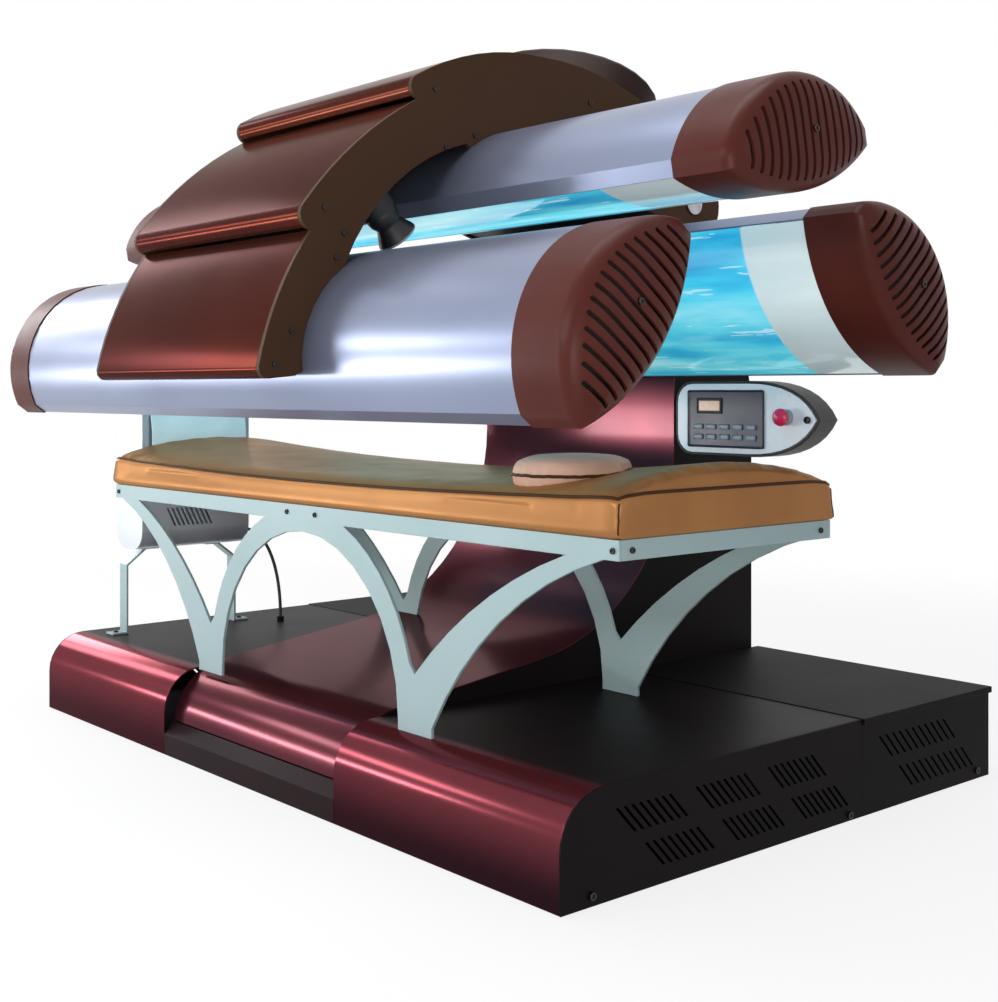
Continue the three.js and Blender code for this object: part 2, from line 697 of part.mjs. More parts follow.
// Air nozzle: ball and socket on the front liner, aimed down at the couch.
const linerCurve = bow(point(LINER_TOP), point(LINER_FRONT), -LINER_RISE, LINER_STEPS);
const linerTangent = linerCurve[NOZZLE_STEP].clone().sub(linerCurve[NOZZLE_STEP - 2]);
const linerNormal = at(-linerTangent.y, linerTangent.x).normalize();
const nozzleRoot = linerCurve[NOZZLE_STEP - 1].clone().addScaledVector(linerNormal, NOZZLE_STAND_OFF);
const nozzleTurn = Math.atan2(-linerNormal.x, linerNormal.y);
const aim = (geometry) => geometry.rotateX(nozzleTurn).translate(NOZZLE_X, nozzleRoot.x, nozzleRoot.y);
const recess = BALL_RADIUS + BALL_PLAY;
const recessEdge = THREE.MathUtils.radToDeg(Math.asin((SOCKET_END - BALL_REACH) / recess));
add(canopy, 'nozzle_socket', aim(lathe([
  at(0, 0),
  at(FLANGE_RADIUS, 0),
  at(FLANGE_RADIUS, FLANGE_THICK),
  at(SOCKET_RADIUS, FLANGE_THICK),
  at(SOCKET_RADIUS, SOCKET_END),
  ...around(at(0, BALL_REACH), recess, recessEdge, -90, 5).slice(0, -1),
  at(0, BALL_REACH - recess),
], 16)), blackPlastic);
add(canopy, 'air_nozzle', aim(lathe([
  at(0, BALL_REACH - BALL_RADIUS),
  ...around(at(0, BALL_REACH), BALL_RADIUS, -90, 40, 6).slice(1),
  at(MOUTH_RADIUS, MOUTH_REACH - 8),
  at(MOUTH_RADIUS, MOUTH_REACH),
  at(MOUTH_RADIUS - NOZZLE_WALL, MOUTH_REACH),
  at(BALL_RADIUS - 4 * NOZZLE_WALL, BALL_REACH + BALL_RADIUS / 2),
  at(0, BALL_REACH + BALL_RADIUS / 2),
], 16)), blackPlastic);

// Couch: two arched side frames, end rails, board, mattress and pillow.
const couch = group('couch', bed);
const couchX0 = COUCH_X - COUCH_LENGTH / 2;
const couchX1 = COUCH_X + COUCH_LENGTH / 2;
const couchY0 = COUCH_Y - COUCH_WIDTH / 2;
const couchY1 = COUCH_Y + COUCH_WIDTH / 2;
const railLow = RAIL_TOP - RAIL_HEIGHT;
const [footLeft, footRight] = FOOT_CENTRES;
const archMiddle = at((footLeft + footRight) / 2, ARCH_CENTRE_Z);
const archInner = (footRight - footLeft) / 2 - FOOT_HALF;
const footLow = PAN_THICK + LEDGE_TOP;
const leftHeel = at(footLeft - FOOT_HALF, DECK_HEIGHT + 20);
const rightHeel = at(footRight + FOOT_HALF, DECK_HEIGHT + 20);
const frameOutline = [
  at(couchX0, RAIL_TOP),
  at(couchX0, railLow),
  at(couchX0 + ARM_LOWER_INSET, railLow),
  ...bow(at(couchX0 + ARM_LOWER_INSET, railLow), leftHeel, ARM_LOWER_RISE, 8),
  at(leftHeel.x, footLow),
  at(footLeft + FOOT_HALF, footLow),
  ...around(archMiddle, archInner, 180, 0, 16),
  at(footRight - FOOT_HALF, footLow),
  at(rightHeel.x, footLow),
  rightHeel,
  ...bow(rightHeel, at(couchX1 - ARM_LOWER_INSET, railLow), ARM_LOWER_RISE, 8),
  at(couchX1, railLow),
  at(couchX1, RAIL_TOP),
];
const archOuter = archInner + ARCH_BAND;
const archMeet = Math.sqrt(archOuter ** 2 - (railLow - archMiddle.y) ** 2);
function armOpening(foot, corner, toward) {
  const notch = at(foot, NOTCH_Z);
  const end = at(archMiddle.x + toward * archMeet, railLow);
  const from = THREE.MathUtils.radToDeg(Math.asin((NOTCH_Z + 20 - ARCH_CENTRE_Z) / archOuter));
  const to = THREE.MathUtils.radToDeg(Math.asin((railLow - ARCH_CENTRE_Z) / archOuter));
  const bend = toward > 0 ? around(archMiddle, archOuter, from, to, 7)
    : around(archMiddle, archOuter, 180 - from, 180 - to, 7);
  return [
    notch,
    ...bend.slice(0, -1),
    end,
    at(corner, railLow),
    ...bow(at(corner, railLow), notch, -toward * ARM_UPPER_RISE, 7).slice(0, -1),
  ];
}
const frameOpenings = [
  armOpening(footLeft, couchX0 + ARM_UPPER_INSET, -1),
  armOpening(footRight, couchX1 - ARM_UPPER_INSET, 1),
];
const deckTool = deckSolid.clone().translate(0, 0, GAP);
const rampTool = rampSolid.clone().translate(0, 0, GAP);
for (const [name, y] of [['front', couchY0], ['rear', couchY1 - FRAME_THICK]]) {
  const frame = prismY(frameOutline, y, y + FRAME_THICK);
  const openings = frameOpenings.map((outline) => prismY(outline, y - 1, y + FRAME_THICK + 1));
  add(couch, `couch_frame_${name}`, cut(frame, ...openings, deckTool, rampTool), steelPaint);
}
const innerY0 = couchY0 + FRAME_THICK + GAP;
const innerY1 = couchY1 - FRAME_THICK - GAP;
add(couch, 'couch_rail_foot', block(couchX0, couchX0 + FRAME_THICK, innerY0, innerY1, railLow, RAIL_TOP), steelPaint);
add(couch, 'couch_rail_head', block(couchX1 - FRAME_THICK, couchX1, innerY0, innerY1, railLow, RAIL_TOP), steelPaint);
add(couch, 'couch_board', block(couchX0 + FRAME_THICK + GAP, couchX1 - FRAME_THICK - GAP, innerY0, innerY1,
  RAIL_TOP - BOARD_THICK, RAIL_TOP), plywood);

// Mattress: crowned across its width, lifted at both ends, drawn in along the side seam.
function mattressSection(edge, crown, half) {
  const low = at(half - 4, 0);
  const seam = at(half - SEAM_DRAW, edge * 0.62);
  const shoulder = at(half, edge * 0.74);
  const side = [low, at(half, edge * 0.12), at(half + 1, edge * 0.45), seam, shoulder];
  const top = at(half - MATTRESS_ROUND, edge);
  const rounded = bow(shoulder, top, -MATTRESS_ROUND * 0.24, 3);
  const rise = [];
  for (let i = 1; i <= 4; i += 1) {
    const y = top.x * (1 - i / 4);
    rise.push(at(y, edge + crown * (1 - (y / top.x) ** 2)));
  }
  const right = [...side, ...rounded, ...rise];
  const left = right.slice(0, -1).map((p) => at(-p.x, p.y)).reverse();
  return [...right, ...left];
}

function mattress() {
  const halfLength = COUCH_LENGTH / 2 + MATTRESS_OVERHANG;
  const halfWidth = COUCH_WIDTH / 2 + MATTRESS_OVERHANG;
  const steps = 14;
  const rings = [];
  for (let i = 0; i <= steps; i += 1) {
    const t = 2 * i / steps - 1;
    const edge = MATTRESS_EDGE + MATTRESS_END_LIFT * t * t;
    const crown = MATTRESS_CROWN + MATTRESS_END_CROWN * t * t;
    rings.push({ x: t * (halfLength - MATTRESS_ROUND), shape: mattressSection(edge, crown, halfWidth) });
  }
  const last = mattressSection(MATTRESS_EDGE + MATTRESS_END_LIFT, MATTRESS_CROWN + MATTRESS_END_CROWN, halfWidth);
  for (const [x, sink] of [[halfLength - 7, 5], [halfLength, 20]]) {
    const shape = last.map((p) => at(p.x * (1 - sink / 900), p.y - Math.max(0, p.y - sink) * sink / 110));
    rings.push({ x, shape });
    rings.unshift({ x: -x, shape });
  }
  const count = rings[0].shape.length;
  const positions = rings.flatMap(({ x, shape }) => shape.flatMap((p) => [x, p.x, p.y]));
  const index = [];
  for (let i = 0; i < rings.length - 1; i += 1) {
    for (let j = 0; j < count; j += 1) {
      const a = i * count + j;
      const b = i * count + (j + 1) % count;
      index.push(a, b, a + count, b, b + count, a + count);
    }
  }
  for (const face of THREE.ShapeUtils.triangulateShape(rings[0].shape, [])) {
    const end = (rings.length - 1) * count;
    index.push(face[2], face[1], face[0], end + face[0], end + face[1], end + face[2]);
  }
  const geometry = new THREE.BufferGeometry();
  geometry.setAttribute('position', new THREE.Float32BufferAttribute(positions, 3));
  geometry.setIndex(index);
  return geometry.translate(COUCH_X, COUCH_Y, RAIL_TOP + GAP);
}
const mattressBody = mattress();
add(couch, 'mattress', mattressBody, vinyl);

const pillowBody = lathe([
  at(0, -30),
  at(0.9, -30),
  at(0.96, 0.30 * PILLOW_HEIGHT),
  at(1, 0.38 * PILLOW_HEIGHT),
  at(0.96, 0.46 * PILLOW_HEIGHT),
  at(0.86, 0.76 * PILLOW_HEIGHT),
  at(0.66, 0.93 * PILLOW_HEIGHT),
  at(0.36, 0.985 * PILLOW_HEIGHT),
  at(0, PILLOW_HEIGHT),
], 28).scale(PILLOW_LENGTH / 2, PILLOW_WIDTH / 2, 1);
const pillowSeat = RAIL_TOP + MATTRESS_EDGE + MATTRESS_END_CROWN * ((PILLOW_X - COUCH_X) / COUCH_LENGTH * 2) ** 2;
pillowBody.translate(PILLOW_X, PILLOW_Y, pillowSeat);
add(couch, 'pillow', cut(pillowBody, mattressBody.clone().translate(0, 0, GAP)), pillowVinyl);

// Foot lamp: louvred housing with a bowed window on two bent legs, and its cable.
const footLamp = group('foot_lamp', bed);
function roundedBox(x0, x1, z0, z1, radius) {
  return [
    ...around(at(x1 - radius, z0 + radius), radius, -90, 0, 5),
    ...around(at(x1 - radius, z1 - radius), radius, 0, 90, 5),
    ...around(at(x0 + radius, z1 - radius), radius, 90, 180, 5),
    ...around(at(x0 + radius, z0 + radius), radius, 180, 270, 5),
  ];
}
const lampCase = prismY(roundedBox(FOOT_LAMP_X0, FOOT_LAMP_X1, FOOT_LAMP_LOW, FOOT_LAMP_HIGH, FOOT_LAMP_CORNER),
  FOOT_LAMP_Y0, FOOT_LAMP_Y1);
const lampHollow = prismY(roundedBox(FOOT_LAMP_X0 + SHEET, FOOT_LAMP_X1 - SHEET, FOOT_LAMP_LOW + SHEET,
  FOOT_LAMP_HIGH - SHEET, FOOT_LAMP_CORNER - SHEET), FOOT_LAMP_Y0 + SHEET, FOOT_LAMP_Y1 - SHEET);
const lampWindow = block(FOOT_LAMP_X1 - 2 * SHEET, FOOT_LAMP_X1 + 1, FOOT_LAMP_Y0 + WINDOW_SIDE,
  FOOT_LAMP_Y1 - WINDOW_SIDE, WINDOW_LOW, WINDOW_HIGH);
const lampSlots = [];
for (let n = 0; n < FOOT_SLOTS; n += 1) {
  const slot = slantedSlot(FOOT_SLOT_START + n * FOOT_SLOT_PITCH, FOOT_SLOT_TOP, SLOT_RUN / 2, SLOT_DROP);
  lampSlots.push(prismX(slot, FOOT_LAMP_X1 - 2 * SHEET, FOOT_LAMP_X1 + 1));
}
const lampGland = barX(GLAND_RADIUS, 0, GLAND_LENGTH + SHEET / 2, 12).rotateZ(Math.PI / 2);
lampGland.translate(CABLE_START[0], FOOT_LAMP_Y1 - SHEET / 2, CABLE_START[1]);
add(footLamp, 'foot_lamp_housing', join(cut(lampCase, lampHollow, lampWindow, ...lampSlots), lampGland), silver);

const windowTop = at(FOOT_LAMP_X1, WINDOW_HIGH - GAP);
const footGlassPath = [windowTop, ...bow(windowTop, at(FOOT_LAMP_X1, WINDOW_LOW + GAP), FOOT_GLASS_RISE, 8)];
add(footLamp, 'foot_lamp_glass', prismY(sheet(footGlassPath, SHEET), FOOT_LAMP_Y0 + WINDOW_SIDE + GAP,
  FOOT_LAMP_Y1 - WINDOW_SIDE - GAP), clear);

const legTop = FOOT_LAMP_LOW - GAP;
const legPath = [
  at(LEG_Y - LEG_TOE, DECK_HEIGHT + GAP + LEG_THICK),
  at(LEG_Y, DECK_HEIGHT + GAP + LEG_THICK),
  at(LEG_Y, LEG_BEND),
  at(LEG_Y + LEG_KINK, legTop),
  at(LEG_Y + LEG_KINK + LEG_TOE, legTop),
];
const leg = () => prismX(sheet(legPath, LEG_THICK), -LEG_WIDTH / 2, LEG_WIDTH / 2);
const legsMiddle = (FOOT_LAMP_Y0 + FOOT_LAMP_Y1) / 2;
add(footLamp, 'foot_lamp_leg_front', leg().translate(LEG_X, 0, 0), steelPaint);
add(footLamp, 'foot_lamp_leg_rear', leg().rotateZ(Math.PI).translate(LEG_X, 2 * legsMiddle, 0), steelPaint);

const cableOut = FOOT_LAMP_Y1 + GLAND_LENGTH + GAP;
const cableDown = DECK_HEIGHT + GLAND_LENGTH + GAP;
const cableRoute = new THREE.CubicBezierCurve3(
  new THREE.Vector3(CABLE_START[0], cableOut, CABLE_START[1]),
  new THREE.Vector3(CABLE_START[0], cableOut + CABLE_LEAD_OUT, CABLE_START[1]),
  new THREE.Vector3(CABLE_END[0], CABLE_END[1], cableDown + CABLE_LEAD_IN),
  new THREE.Vector3(CABLE_END[0], CABLE_END[1], cableDown),
);
const cableShape = new THREE.Shape(around(at(0, 0), CABLE_RADIUS, 0, 360, 8).slice(0, -1));
add(footLamp, 'foot_lamp_cable', weld(new THREE.ExtrudeGeometry(cableShape,
  { steps: 16, extrudePath: cableRoute })), rubber);

// Control pod with its emergency stop.
const pod = group('control_pod', bed);
function podOutline(inset) {
  const x0 = POD_X0 + inset;
  const tip = POD_X0 + POD_LENGTH - inset * 1.6;
  const half = POD_HALF_HEIGHT - inset;
  const straight = POD_X0 + POD_LENGTH * 0.52;
  const lower = new THREE.QuadraticBezierCurve(at(straight, POD_Z - half), at(tip - 50, POD_Z - half), at(tip, POD_Z));
  const upper = new THREE.QuadraticBezierCurve(at(tip, POD_Z), at(tip - 50, POD_Z + half), at(straight, POD_Z + half));
  const corner = half * 0.55;
  return [
    ...lower.getPoints(8),
    ...upper.getPoints(8).slice(1),
    ...around(at(x0 + corner, POD_Z + half - corner), corner, 90, 180, 5),
    ...around(at(x0 + corner, POD_Z - half + corner), corner, 180, 270, 5),
  ];
}
const podBack = POD_FACE + POD_DEPTH;
const podBody = prismY(podOutline(0), POD_FACE, podBack);
const facePocket = prismY(podOutline(POD_RIM - GAP), POD_FACE - 1, POD_FACE + FACE_THICK + GAP);
const podArm = block(centreX + GAP, POD_X0 + POD_ARM, COLUMN_FRONT + SHEET, podBack,
  POD_Z - POD_HALF_HEIGHT / 2, POD_Z + POD_HALF_HEIGHT / 2);
add(pod, 'pod_body', join(cut(podBody, facePocket), podArm), blackPlastic);
add(pod, 'pod_face', prismY(podOutline(POD_RIM), POD_FACE - 1, POD_FACE + FACE_THICK), podSilver);

const collarFace = POD_FACE - 1 - GAP;
const aimStop = (geometry) => geometry.rotateX(Math.PI / 2).translate(STOP_X, collarFace, STOP_Z);
const stemBore = STEM_RADIUS + SHAFT_PLAY;
const headStart = COLLAR_LENGTH + STOP_TRAVEL + STOP_CLEAR;
add(pod, 'stop_collar', aimStop(lathe([
  at(stemBore, 0),
  at(COLLAR_RADIUS, 0),
  at(COLLAR_RADIUS, COLLAR_LENGTH - 2),
  at(COLLAR_RADIUS - 2, COLLAR_LENGTH),
  at(stemBore, COLLAR_LENGTH),
  at(stemBore, 0),
], 20)), greyPlastic);
add(pod, 'stop_button', aimStop(lathe([
  at(0, STOP_TRAVEL + 1),
  at(STEM_RADIUS, STOP_TRAVEL + 1),
  at(STEM_RADIUS, headStart),
  at(STOP_RADIUS - 1, headStart),
  at(STOP_RADIUS, headStart + 3),
  at(STOP_RADIUS - 2, headStart + 8),
  at(STOP_RADIUS * 0.6, headStart + 13),
  at(0, headStart + 15),
], 20)), redPlastic);

export default bed;
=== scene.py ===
import json
import math

import bpy
from mathutils import Matrix, Vector


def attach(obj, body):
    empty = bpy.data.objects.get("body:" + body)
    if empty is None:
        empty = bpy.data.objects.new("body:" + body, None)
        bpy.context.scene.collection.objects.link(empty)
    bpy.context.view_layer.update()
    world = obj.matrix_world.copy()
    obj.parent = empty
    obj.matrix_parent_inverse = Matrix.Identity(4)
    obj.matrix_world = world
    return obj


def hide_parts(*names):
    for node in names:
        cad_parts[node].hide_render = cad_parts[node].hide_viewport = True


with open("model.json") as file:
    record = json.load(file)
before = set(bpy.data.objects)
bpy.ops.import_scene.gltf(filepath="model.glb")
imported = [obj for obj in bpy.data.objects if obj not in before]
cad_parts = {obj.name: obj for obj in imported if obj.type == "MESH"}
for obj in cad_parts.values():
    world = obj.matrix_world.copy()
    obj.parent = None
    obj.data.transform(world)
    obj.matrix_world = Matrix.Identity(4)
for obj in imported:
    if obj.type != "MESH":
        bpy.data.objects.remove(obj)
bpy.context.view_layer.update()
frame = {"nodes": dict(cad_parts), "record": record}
nodes = frame["nodes"]
body_of_node = {n: b for b, members in frame["record"]["behaviour"]["bodies"].items() for n in members}
scene = bpy.context.scene


def linked(name, data):
    """An object for a mesh, curve, camera or lamp, put in the scene."""
    held = bpy.data.objects.new(name, data)
    scene.collection.objects.link(held)
    return held


def aimed(name, data, place, way):
    """A camera or lamp at its place, looking one way."""
    held = linked(name, data)
    held.location = place
    held.rotation_mode = "QUATERNION"
    held.rotation_quaternion = Vector(way).to_track_quat("-Z", "Y")
    return held


# Camera, at the photograph's eye height and angle.
eye = bpy.data.cameras.new("eye")
eye.lens = 50.86
eye.sensor_width = 36.0
eye.shift_y = -0.1113
scene.camera = aimed("camera", eye, (2.9315, -2.4392, 0.9394), (-0.757, 0.653, 0.0))
scene.view_settings.view_transform = "Standard"


WHITE = (1.0, 1.0, 1.0, 1.0)


def tone(red, green, blue):
    """A colour as it is read off a picture, made linear."""
    def straight(c):
        c /= 255
        return c / 12.92 if c <= 0.04045 else ((c + 0.055) / 1.055) ** 2.4
    return (straight(red), straight(green), straight(blue), 1.0)


class Wire:
    """A value on a socket, for plain arithmetic between sockets and numbers."""

    def __init__(self, finish, socket):
        self.finish = finish
        self.socket = socket

    def sum_with(self, kind, first, second):
        return self.finish.node("Math", {"operation": kind}, [first, second])

    def __add__(self, other):
        return self.sum_with("ADD", self, other)

    def __radd__(self, other):
        return self.sum_with("ADD", other, self)

    def __sub__(self, other):
        return self.sum_with("SUBTRACT", self, other)

    def __rsub__(self, other):
        return self.sum_with("SUBTRACT", other, self)

    def __mul__(self, other):
        return self.sum_with("MULTIPLY", self, other)

    def __rmul__(self, other):
        return self.sum_with("MULTIPLY", other, self)

    def __gt__(self, other):
        return self.sum_with("GREATER_THAN", self, other)

    def __lt__(self, other):
        return self.sum_with("LESS_THAN", self, other)

    def __abs__(self):
        return self.sum_with("ABSOLUTE", self, 0.0)


class Finish:
    """One material: a shader with its steady values, and nodes for what changes over the surface."""

    def __init__(self, name, **steady):
        self.material = bpy.data.materials.new(name)
        self.material.use_nodes = True
        self.tree = self.material.node_tree
        self.shader = self.tree.nodes["Principled BSDF"]
        for key, value in steady.items():
            self.shader.inputs[key.replace("_", " ").title().replace("Ior", "IOR")].default_value = value
        self.place = self.node("TexCoord", out="Object")

    def node(self, kind, settings=None, values=(), out=0):
        made = self.tree.nodes.new("ShaderNode" + kind)
        for key, value in (settings or {}).items():
            if key == "stops":
                ramp = made.color_ramp.elements
                while len(ramp) < len(value):
                    ramp.new(0.5)
                for stop, (at, colour) in zip(ramp, value):
                    stop.position = at
                    stop.color = colour
            else:
                setattr(made, key, value)
        pairs = values.items() if isinstance(values, dict) else enumerate(values)
        for key, value in pairs:
            if isinstance(value, Wire):
                self.tree.links.new(value.socket, made.inputs[key])
            else:
                made.inputs[key].default_value = value
        return Wire(self, made.outputs[out])

    def feed(self, socket, value):
        self.tree.links.new(value.socket, self.shader.inputs[socket])
        return self

    def noise(self, scale, detail=2.0, stretch=(1, 1, 1)):
        spread = self.node("Mapping", {}, {"Vector": self.place, "Scale": stretch})
        return self.node("TexNoise", {}, {"Vector": spread, "Scale": scale, "Detail": detail})

    def ramp(self, value, *stops):
        return self.node("ValToRGB", {"stops": stops}, [value])

    def mix(self, share, first, second):
        return self.node("Mix", {"data_type": "RGBA"}, {0: share, 6: first, 7: second}, out=2)

    def bump(self, height, strength, distance):
        return self.feed("Normal", self.node("Bump", {}, {
            "Strength": strength, "Distance": distance, "Height": height}))

    def along(self, axis):
        return self.node("SeparateXYZ", {}, [self.place], out=axis)


def paint(name, dark, light, roughness, metallic, coat, specular=0.5, rim=WHITE):
    """Sprayed paint: cloudy tone, flakes, clear coat, orange peel, and a tint where seen edge on."""
    made = Finish(name, metallic=metallic, coat_weight=coat, coat_roughness=0.1,
                  specular_ior_level=specular, specular_tint=rim)
    cloud = made.noise(2.2, 3.0)
    flakes = made.noise(300.0, 1.0)
    made.tint = made.mix(cloud * 0.85 + flakes * 0.15, dark, light)
    made.sheen = made.noise(7.0, 2.0) * 0.06 + (roughness - 0.03)
    made.feed("Base Color", made.tint)
    made.feed("Roughness", made.sheen)
    made.bump(made.noise(70.0, 1.0), 0.02, 0.0003)
    return made


def decked(made, edge, shine, dark, light):
    """The same paint with painted shade darkening it towards the floor, and from one line on towards the
    back a dull deck whose near-black colour is a painted dark reflection.
    """
    # From the deck line back: rougher, not metallic, and a painted dark reflection in its colour.
    back = made.node("MapRange", {"interpolation_type": "SMOOTHSTEP"}, {
        "Value": made.along("Y"), "From Min": edge - 0.03, "From Max": edge + 0.02})
    # Painted shade: the nose darkens over its lowest 0.17 m towards the floor.
    painted_shade_fade = made.node("MapRange", {"interpolation_type": "SMOOTHSTEP"}, {
        "Value": made.along("Z"), "From Min": 0.02, "From Max": 0.17})
    nose = made.mix(painted_shade_fade, tone(34, 17, 24), made.tint)
    made.feed("Base Color", made.mix(back, nose, made.mix(made.noise(3.0, 4.0), dark, light)))
    made.feed("Roughness", made.sheen + back * 0.3)
    made.feed("Metallic", shine - back * shine)
    return made


def moulded(name, dark, light, roughness, grain=650.0, depth=0.0004, specular=0.5):
    """Moulded plastic with a fine spark-eroded grain and a little handling shine."""
    made = Finish(name, specular_ior_level=specular)
    made.feed("Base Color", made.mix(made.noise(5.0, 4.0), dark, light))
    made.feed("Roughness", made.noise(9.0, 5.0) * 0.2 + (roughness - 0.1))
    made.bump(made.noise(grain, 3.0), 0.22, depth)
    return made.material


def brushed(name, dark, light, roughness, stretch):
    """Metal with brush marks along one way."""
    made = Finish(name, metallic=1.0)
    marks = made.noise(38.0, 6.0, stretch)
    made.feed("Base Color", made.mix(marks, dark, light))
    made.feed("Roughness", marks * 0.2 + (roughness - 0.1))
    made.bump(marks, 0.06, 0.0003)
    return made.material


def leathered(name, dark, light, roughness, metallic=0.0):
    """Upholstery vinyl: warm cloudy colour, pebbled grain and creases."""
    made = Finish(name, metallic=metallic, specular_ior_level=0.08,
                  specular_tint=(1.0, 0.66, 0.36, 1.0))
    cloud = made.noise(3.0, 4.0, (0.6, 1.4, 1.0))
    pebble = made.node("TexVoronoi", {"feature": "DISTANCE_TO_EDGE"}, {
        "Vector": made.place, "Scale": 420.0})
    made.feed("Base Color", made.mix(cloud, dark, light))
    made.feed("Roughness", made.noise(11.0, 4.0) * 0.18 + (roughness - 0.09))
    made.bump(pebble + made.noise(30.0, 3.0) * 0.5, 0.16, 0.0008)
    return made.material


def glow_painted_sheet(name, strength, ends):
    """Clear sheet glowing with painted light in place of the lamps behind it: painted blue streaks and
    glints of reflection over the lamps, pale and empty beside each cap.
    """
    made = Finish(name, roughness=0.08, coat_weight=0.5, coat_roughness=0.04,
                  emission_strength=strength)
    edge = abs(made.along("X")) + made.noise(1.6, 1.0) * 0.03
    empty = made.node("MapRange", {"interpolation_type": "SMOOTHSTEP"}, {
        "Value": edge, "From Min": ends, "From Max": ends + 0.006})
    # Painted reflection: glow streaks and glints laid into the sheet's emission.
    painted_glow_streaks = made.noise(4.0, 8.0, (0.5, 3.2, 3.2))
    painted_glints = made.noise(11.0, 3.0, (0.55, 6.0, 6.0)) > 0.66
    glow = made.ramp(painted_glow_streaks, (0.30, tone(34, 136, 194)), (0.44, tone(72, 200, 228)),
                     (0.56, tone(124, 232, 240)), (0.70, tone(196, 250, 252)))
    glow = made.mix(painted_glints * 0.75, glow, tone(236, 252, 252))
    blank = made.mix(painted_glow_streaks, tone(186, 206, 212), tone(226, 238, 240))
    made.feed("Base Color", made.mix(empty, tone(40, 150, 190), blank))
    # Painted glow: the sheet itself emits, blue over the lamps and dim grey beside the caps.
    made.feed("Emission Color", made.mix(empty, glow, tone(128, 142, 144)))
    return made.material


DECK_EDGE = -0.610
NOSE_SHINE = 0.7
BURGUNDY = paint("burgundy_paint", tone(58, 24, 32), tone(92, 42, 50), 0.2, 0.65, 0.08,
                 specular=0.2, rim=(0.5, 0.3, 0.33, 1.0)).material
NOSE = paint("nose_and_deck_paint", tone(84, 34, 42), tone(120, 56, 64), 0.17, NOSE_SHINE, 0.0,
             specular=0.08, rim=(0.8, 0.5, 0.52, 1.0))
# Base covers: painted shade on the nose towards the floor, and near-black deck colours that are a painted
# dark reflection.
COVER = decked(NOSE, DECK_EDGE, NOSE_SHINE, tone(11, 9, 10), tone(22, 17, 19)).material
PLINTH = paint("plinth_paint", tone(26, 15, 18), tone(38, 23, 27), 0.45, 0.1, 0.0,
               specular=0.04).material
DECK = paint("dark_deck_paint", tone(10, 8, 9), tone(21, 16, 18), 0.55, 0.0, 0.0,
             specular=0.06).material
BRONZE = paint("bronze_paint", tone(62, 32, 25), tone(88, 48, 39), 0.2, 0.6, 0.0, specular=0.05,
               rim=(0.36, 0.25, 0.21, 1.0)).material
COWL = paint("cowl_paint", tone(30, 20, 18), tone(48, 34, 31), 0.4, 0.2, 0.0, specular=0.1).material
CHEEK = paint("cheek_paint", tone(56, 37, 24), tone(72, 49, 33), 0.5, 0.0, 0.0,
              specular=0.1).material
SILVER = paint("silver_paint", tone(122, 130, 154), tone(146, 154, 178), 0.3, 0.75, 0.0,
               specular=0.2).material
PALE = paint("pale_silver_paint", tone(176, 184, 194), tone(200, 206, 214), 0.35, 0.4, 0.0,
             specular=0.3).material
STEEL = paint("pale_frame_paint", tone(134, 156, 159), tone(158, 178, 181), 0.42, 0.1, 0.0,
              specular=0.2).material
CAP = moulded("cap_moulding", tone(62, 26, 22), tone(86, 39, 33), 0.38, specular=0.1)
BLACK = moulded("black_moulding", tone(18, 18, 20), tone(30, 30, 33), 0.5)
PEARL = moulded("pearl_moulding", tone(236, 236, 243), tone(248, 248, 252), 0.28, 900.0, 0.0001)
NAVY = moulded("navy_foil", tone(28, 27, 48), tone(40, 38, 60), 0.3, 900.0, 0.0001)
RED = moulded("red_moulding", tone(205, 26, 70), tone(236, 46, 104), 0.3, 800.0, 0.0001)
GREY = moulded("grey_moulding", tone(128, 138, 150), tone(152, 160, 170), 0.35)
CABLE = moulded("cable_jacket", tone(24, 24, 26), tone(36, 36, 38), 0.6, 1200.0)
SHAFT = brushed("ground_steel", tone(140, 142, 148), tone(186, 188, 192), 0.28, (60, 1, 1))
SCREW = brushed("dark_screw", tone(40, 38, 38), tone(78, 74, 72), 0.35, (1, 30, 1))
MIRROR = brushed("reflector_sheet", tone(196, 214, 226), tone(232, 240, 246), 0.16, (1, 40, 40))
VINYL = leathered("gold_vinyl", tone(128, 85, 50), tone(166, 119, 76), 0.34, 0.35)
PATCH = leathered("pillow_vinyl", tone(168, 132, 114), tone(196, 162, 144), 0.45)
PIPING = leathered("dark_piping", tone(48, 29, 18), tone(70, 45, 29), 0.4)
# Glass of the banks and foot lamp, glowing with painted light and painted reflection streaks.
PAINTED_GLOW_GLASS = glow_painted_sheet("glow_painted_sheet", 0.6, 0.893)
FOOT_PAINTED_GLOW_GLASS = glow_painted_sheet("foot_lamp_sheet", 0.8, 0.853)

grain = Finish("ply_board", roughness=0.7)
rings = grain.noise(9.0, 5.0, (0.25, 3.0, 3.0))
grain.feed("Base Color", grain.mix(rings, tone(150, 118, 80), tone(196, 164, 120)))
grain.bump(rings, 0.1, 0.0005)
PLY = grain.material

glow = Finish("lamp_tube", roughness=0.3, emission_strength=1.6)
cloud = glow.noise(14.0, 3.0, (0.2, 1, 1))
glow.feed("Emission Color", glow.mix(cloud, tone(70, 190, 240), tone(210, 250, 255)))
TUBE = glow.material

orange = Finish("display_foil", roughness=0.25, emission_strength=0.35)
orange.feed("Base Color", orange.mix(orange.noise(60.0, 2.0), tone(196, 150, 126), tone(226, 190, 172)))
orange.feed("Emission Color", orange.mix(orange.noise(60.0, 2.0), tone(150, 96, 70), tone(190, 140, 110)))
DISPLAY = orange.material


def nothing_selected():
    if bpy.context.object and bpy.context.object.mode != "OBJECT":
        bpy.ops.object.mode_set(mode="OBJECT")
    bpy.ops.object.select_all(action="DESELECT")


